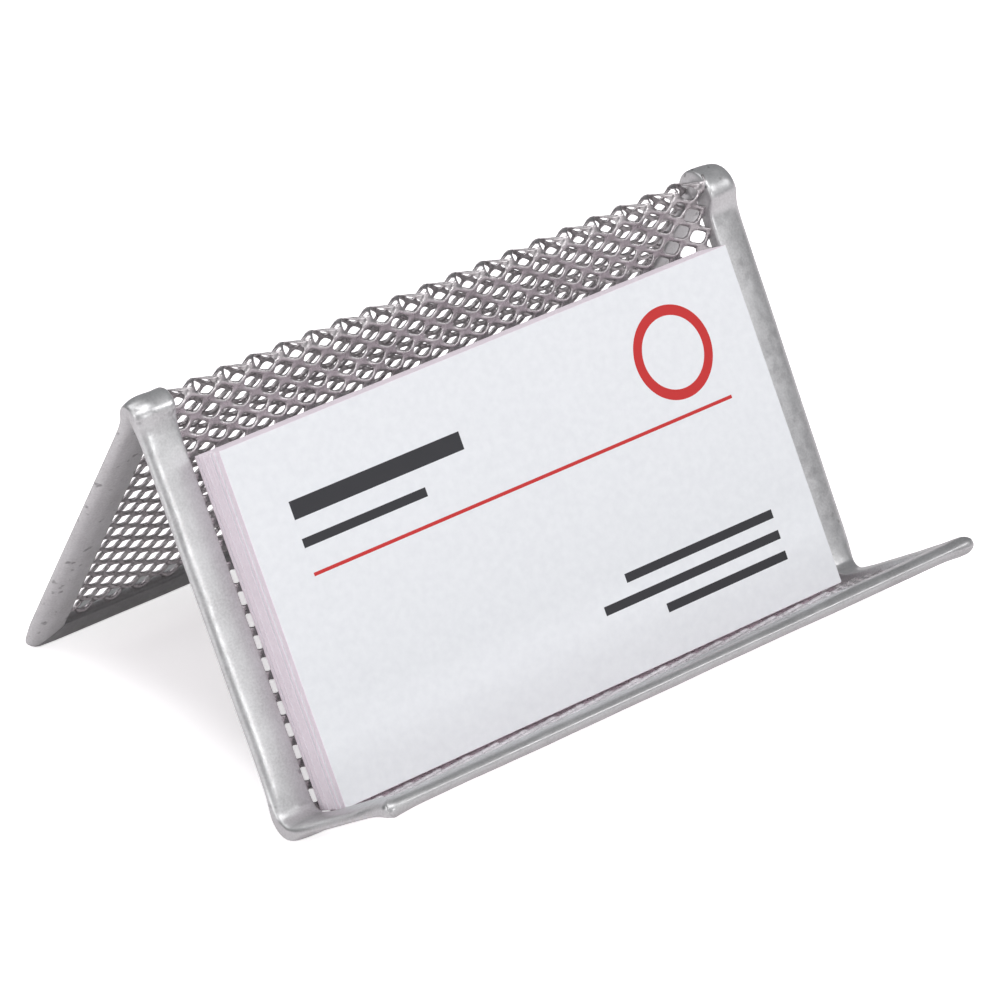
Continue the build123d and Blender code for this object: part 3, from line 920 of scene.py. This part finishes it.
class BuildCards(bpy.types.Operator):
    """Models the cards of the stack one by one, and the front card with its plain print"""

    bl_idname = "card_stand.cards"
    bl_label = "Cards"

    def execute(self, context):
        cards = settings("cards")
        colours = settings("finish")
        face = card_stock("card_face", colours.card_face, *FACE_STOCK)
        edge = card_stock("card_edge", colours.card_edge, *EDGE_STOCK)
        printed = self.printed_face(colours)
        chance = random.Random(SLIP_SEED)
        groups = (("rear_card_stack", cards.rear_count), ("middle_card_stack", cards.middle_count),
                  ("front_card", 1))
        for name, count in groups:
            depth = count * cards.thickness + (count - 1) * cards.spacing
            place = self.stack_place(name, depth)
            stack = []
            for number in range(count):
                slip = 0.0 if count == 1 else cards.sideways * chance.uniform(-1.0, 1.0)
                stack.append(self.card(cards, place, number, slip))
            begin()
            for card in stack:
                card.select_set(True)
            bpy.context.view_layer.objects.active = stack[0]
            if count > 1:
                bpy.ops.object.join()
            bpy.ops.object.shade_flat()
            front = printed if count == 1 else face
            hand_over(stack[0], name, name, (name,), (face, edge, front))
            self.tell_faces(stack[0])
        return {"FINISHED"}

    def stack_place(self, node, depth):
        """Left edge, right edge, foot, top and back of a stack, measured on the front panel."""
        low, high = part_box(node)
        lean = front_lean()
        corner = front_corner()
        back_step = low.y - corner.x + depth * math.sin(lean)
        rise = low.z - corner.y
        foot = rise * math.sin(lean) + back_step * math.cos(lean)
        back = rise * math.cos(lean) - back_step * math.sin(lean)
        top = (high.z - corner.y - (back + depth) * math.cos(lean)) / math.sin(lean)
        return low.x, high.x, foot, top, back

    def card(self, cards, place, number, slip):
        """One card with softened edges, drawn flat and then leaned on the front panel."""
        left, right, foot, top, back = place
        level = back + number * (cards.thickness + cards.spacing) + cards.thickness / 2
        begin()
        bpy.ops.mesh.primitive_cube_add(size=1.0)
        card = sized((right - left, top - foot, cards.thickness),
                     ((left + right) / 2 + slip, (foot + top) / 2, level))
        choose_all()
        bpy.ops.mesh.bevel(offset=cards.edge_round, segments=1, affect="EDGES")
        mode("OBJECT")
        drawing = card.data.uv_layers.active.data
        for face in card.data.polygons:
            for index in face.loop_indices:
                point = card.data.vertices[card.data.loops[index].vertex_index].co
                drawing[index].uv = (point.x - left - slip) / MM, (point.y - foot) / MM
        lean = front_lean()
        corner = front_corner()
        for vertex in card.data.vertices:
            spot = corner + vertex.co.y * heading(lean) + vertex.co.z * heading(lean + math.pi / 2)
            vertex.co = (vertex.co.x, spot.x, spot.y)
        return card

    def tell_faces(self, stack):
        """Gives backs, cut edges and fronts their own finish."""
        forward = heading(front_lean() + math.pi / 2)
        for face in stack.data.polygons:
            facing = face.normal.y * forward.x + face.normal.z * forward.y
            face.material_index = 1
            if abs(facing) > SQUARELY:
                face.material_index = 2 if facing > 0.0 else 0

    def printed_face(self, colours):
        """White card with plain dark bars, a red rule and a red ring."""
        finish = card_stock("front_card_face", colours.card_face, *FACE_STOCK)
        tree, shader, paper = coloured_so_far(finish)
        parts = new_node(tree, "SeparateXYZ")
        tree.links.new(new_node(tree, "UVMap").outputs["UV"], parts.inputs["Vector"])
        across, up = parts.outputs["X"], parts.outputs["Y"]
        dark = self.bars(tree, across, up, DARK_BARS)
        red = worked(tree, "MAXIMUM", self.bars(tree, across, up, RED_BARS), self.ring(tree, across, up))
        inked = mixed(tree, dark, paper, colours.print_dark)
        tree.links.new(mixed(tree, red, inked, colours.print_red), shader.inputs["Base Color"])
        return finish

    def bars(self, tree, across, up, places):
        """Mask of upright bars, each given by its left, bottom, width and height."""
        mask = 0.0
        for left, bottom, width, height in places:
            wide = worked(tree, "COMPARE", across, left + width / 2, width / 2)
            high = worked(tree, "COMPARE", up, bottom + height / 2, height / 2)
            mask = worked(tree, "MAXIMUM", worked(tree, "MULTIPLY", wide, high), mask)
        return mask

    def ring(self, tree, across, up):
        """Mask of the ring."""
        sideways = worked(tree, "SUBTRACT", across, RING_MIDDLE[0])
        upwards = worked(tree, "SUBTRACT", up, RING_MIDDLE[1])
        square = worked(tree, "MULTIPLY_ADD", sideways, sideways,
                        worked(tree, "MULTIPLY", upwards, upwards))
        return worked(tree, "COMPARE", worked(tree, "SQRT", square, 0.0), RING_RADIUS, RING_STROKE / 2)


# Stage

# Place, side and power of each lamp, and the point that they all face
LAMPS = {
    "front_right_lamp": ((0.75, -0.83, 0.84), 0.45, 3.0),
    "front_lamp": ((-0.14, -1.32, 0.5), 0.4, 2.3),
    "left_lamp": ((-1.1, -0.3, 0.55), 0.8, 4.0),
    "low_lamp": ((0.42, -1.3, 0.45), 0.6, 1.0),
    "overhead_lamp": ((-0.2, -0.5, 1.4), 1.2, 12.0),
    "back_lamp": ((-0.3, 0.6, 1.2), 0.8, 3.0),
}
LAMP_AIM = (0.0, 0.0, 0.025)

# Light from all round, the floor, and the edge over which the floor's painted shadow fades out
WHITE = (1.0, 1.0, 1.0, 1.0)
ROOM_COLOUR = (0.62, 0.64, 0.67, 1.0)
ROOM_STRENGTH = 0.25
FLOOR_COLOUR = (0.9, 0.855, 0.875, 1.0)
FLOOR_ROUGHNESS = 0.9
SHADE_EDGE = (-12 * MM, 2 * MM)

# The camera's sensor in millimetres, and how near it sees
SENSOR_WIDTH = 36.0
NEAREST = 0.01


class BuildStage(bpy.types.Operator):
    """Adds the floor, the light and the camera"""

    bl_idname = "card_stand.stage"
    bl_label = "Stage"

    def execute(self, context):
        stage = settings("stage")
        self.floor(stage)
        self.surroundings()
        for name, lamp in LAMPS.items():
            self.lamp(name, *lamp)
        self.camera(stage)
        context.scene.view_settings.view_transform = "Standard"
        return {"FINISHED"}

    def floor(self, stage):
        """A plain pale floor that keeps the shadow and shows as white, with a painted shadow under the
        stand, where it is lifted to white less.
        """
        begin()
        bpy.ops.mesh.primitive_plane_add(size=1.0)
        floor = sized((stage.floor_size, stage.floor_size, 1.0))
        floor.name = "floor"
        finish, tree, shader = new_finish("floor_white")
        shader.inputs["Base Color"].default_value = FLOOR_COLOUR
        shader.inputs["Roughness"].default_value = FLOOR_ROUGHNESS
        shader.inputs["Specular IOR Level"].default_value = 0.0
        shader.inputs["Emission Color"].default_value = WHITE
        path = new_node(tree, "LightPath")
        mirrored = worked(tree, "MAXIMUM", path.outputs["Is Glossy Ray"],
                          path.outputs["Is Transmission Ray"])
        lifted = worked(tree, "MULTIPLY", self.painted_shadow_mask(stage, tree), path.outputs["Is Camera Ray"])
        strength = worked(tree, "MULTIPLY_ADD", lifted, stage.floor_white,
                          worked(tree, "MULTIPLY", mirrored, stage.floor_mirrored))
        tree.links.new(strength, shader.inputs["Emission Strength"])
        floor.data.materials.append(finish)

    def painted_shadow_mask(self, stage, tree):
        """Mask of the floor's painted shadow: 1 in the open, and less between the front bend and the foot,
        where the real shadow shows through.
        """
        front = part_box("mesh_front_bend")[0].y
        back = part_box("rear_foot_rail")[1].y
        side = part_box("rear_foot_rail")[1].x
        parts = new_node(tree, "SeparateXYZ")
        tree.links.new(new_node(tree, "TexCoord").outputs["Object"], parts.inputs["Vector"])
        beside = worked(tree, "SUBTRACT", worked(tree, "ABSOLUTE", parts.outputs["X"], 0.0), side)
        along = worked(tree, "SUBTRACT", parts.outputs["Y"], (front + back) / 2)
        beyond = worked(tree, "SUBTRACT", worked(tree, "ABSOLUTE", along, 0.0), (back - front) / 2)
        outside = worked(tree, "MAXIMUM", beside, beyond)
        return remapped(tree, outside, SHADE_EDGE, (1 - stage.floor_painted_shadow, 1.0), "SMOOTHSTEP")

    def surroundings(self):
        """Soft light from all round, white where the camera sees it."""
        world = bpy.data.worlds.new("studio")
        bpy.context.scene.world = world
        world.use_nodes = True
        tree = world.node_tree
        tree.nodes.clear()
        output = new_node(tree, "OutputWorld")
        light = new_node(tree, "Background")
        light.inputs["Color"].default_value = ROOM_COLOUR
        light.inputs["Strength"].default_value = ROOM_STRENGTH
        white = new_node(tree, "Background")
        white.inputs["Color"].default_value = WHITE
        path = new_node(tree, "LightPath")
        both = new_node(tree, "MixShader")
        tree.links.new(path.outputs["Is Camera Ray"], both.inputs["Fac"])
        tree.links.new(light.outputs["Background"], both.inputs[1])
        tree.links.new(white.outputs["Background"], both.inputs[2])
        tree.links.new(both.outputs["Shader"], output.inputs["Surface"])

    def lamp(self, name, place, size, power):
        """A square soft lamp that faces the stand."""
        begin()
        bpy.ops.object.light_add(type="AREA", location=place)
        lamp = bpy.context.active_object
        lamp.name = name
        aim = Vector(LAMP_AIM) - Vector(place)
        lamp.rotation_euler = aim.to_track_quat("-Z", "Y").to_euler()
        lamp.data.size = size
        lamp.data.energy = power

    def camera(self, stage):
        """The camera at the picture's angle."""
        begin()
        bpy.ops.object.camera_add(location=stage.camera_place)
        camera = bpy.context.active_object
        level = Euler((math.pi / 2 - stage.camera_drop, 0.0, -stage.camera_turn)).to_matrix()
        camera.rotation_euler = (level @ Matrix.Rotation(-stage.camera_roll, 3, "Z")).to_euler()
        camera.data.sensor_width = SENSOR_WIDTH
        camera.data.lens = stage.lens
        camera.data.clip_start = NEAREST
        bpy.context.scene.camera = camera


# Add-on

OPERATORS = (BuildMeshSheet, BuildRails, BuildCards, BuildStage)


class CardStandPanel(bpy.types.Panel):
    """Lists the steps that build the stand"""

    bl_idname = "VIEW3D_PT_card_stand"
    bl_label = "Card Stand"
    bl_space_type = "VIEW_3D"
    bl_region_type = "UI"
    bl_category = "Card Stand"

    def draw(self, context):
        for operator in OPERATORS:
            self.layout.operator(operator.bl_idname)


def register():
    """Adds the settings, the operators and the panel."""
    for name, group in SETTINGS.items():
        bpy.utils.register_class(group)
        setattr(bpy.types.Scene, "card_stand_" + name, bpy.props.PointerProperty(type=group))
    for operator in OPERATORS:
        bpy.utils.register_class(operator)
    bpy.utils.register_class(CardStandPanel)


def unregister():
    """Takes them away again."""
    bpy.utils.unregister_class(CardStandPanel)
    for operator in reversed(OPERATORS):
        bpy.utils.unregister_class(operator)
    for name, group in SETTINGS.items():
        delattr(bpy.types.Scene, "card_stand_" + name)
        bpy.utils.unregister_class(group)


def main():
    """Builds the stand step by step."""
    register()
    bpy.ops.card_stand.mesh_sheet()
    bpy.ops.card_stand.rails()
    bpy.ops.card_stand.cards()
    bpy.ops.card_stand.stage()


if __name__ == "__main__":
    main()
